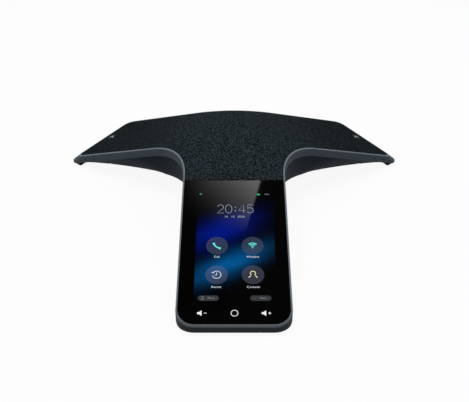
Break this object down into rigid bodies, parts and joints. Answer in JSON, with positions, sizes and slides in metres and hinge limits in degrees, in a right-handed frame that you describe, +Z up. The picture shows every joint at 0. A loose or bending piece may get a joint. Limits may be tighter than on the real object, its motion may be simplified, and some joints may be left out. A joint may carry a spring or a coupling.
{
  "type": "desk ip phone",
  "caption": "Hands-free desk ip phone with a low three-armed body, a fabric-covered loudspeaker over the hub and rear arms, and a glass touch screen along the front arm.",
  "frame": {"origin": "centre of the footprint, on the desk", "axes": "+Z up, +Y towards the back, away from the screen arm; +X to the right of someone facing the screen"},
  "size_m": [0.3218, 0.3162, 0.0603],
  "materials": {
    "housing": "fine satin",
    "base": "fine grained",
    "grille": "matte",
    "fabric": "woven, matte",
    "cover_glass": "polished, black printed border",
    "gasket": "foam, matte",
    "sensor": "clear",
    "panel": "lit screen",
    "frame_metal": "die-cast",
    "flex": "smooth film",
    "board": "solder resist",
    "shield": "tinned",
    "jack_metal": "plated",
    "jack_plastic": "moulded",
    "transformer": "cast resin",
    "capacitor": "sleeved",
    "chamber": "moulded",
    "basket": "black coat",
    "pole_steel": "zinc plated",
    "magnet": "sintered",
    "spider": "impregnated cloth",
    "surround": "matte",
    "coil": "wound wire",
    "cone": "pressed",
    "mute_light": "translucent",
    "foot": "matte",
    "black_screw": "black oxide",
    "bright_screw": "plated"
  },
  "bodies": {
    "phone": {"upper_housing": "housing", "lower_housing": "base", "speaker_grille": "grille", "grille_fabric": "fabric", "cover_glass": "cover_glass", "glass_gasket": "gasket", "touch_sensor": "sensor", "display_panel": "panel", "display_frame": "frame_metal", "display_flex": "flex", "main_board": "board", "processor_shield": "shield", "wireless_module": "shield", "port_board": "board", "ethernet_jack": "jack_metal", "usb_jack": "jack_metal", "service_jack": "jack_metal", "audio_jack": "jack_plastic", "power_transformer": "transformer", "board_capacitors": "capacitor", "port_flex": "flex", "speaker_chamber": "chamber", "speaker_basket": "basket", "speaker_yoke": "pole_steel", "speaker_magnet": "magnet", "speaker_top_plate": "pole_steel", "speaker_spider": "spider", "speaker_surround": "surround", "speaker_gasket": "gasket", "left_mute_light": "mute_light", "right_mute_light": "mute_light", "left_mute_board": "board", "right_mute_board": "board", "left_mic_seal": "gasket", "right_mic_seal": "gasket", "left_mic_board": "board", "right_mic_board": "board", "left_arm_flex": "flex", "right_arm_flex": "flex", "left_antenna": "board", "right_antenna": "board", "front_foot": "foot", "left_foot": "foot", "right_foot": "foot", "housing_screws": "black_screw", "display_screws": "bright_screw", "board_screws": "bright_screw", "speaker_screws": "bright_screw"},
    "cone": {"voice_coil": "coil", "speaker_cone": "cone", "dust_cap": "cone"}
  },
  "joints": [
    {"name": "cone_slide", "type": "slide", "parent": "phone", "child": "cone", "axis": [0, 0, 1], "range_m": [-0.002, 0.002], "stiffness_N_per_m": 1500, "deforming": ["speaker_surround", "speaker_spider"]}
  ]
}
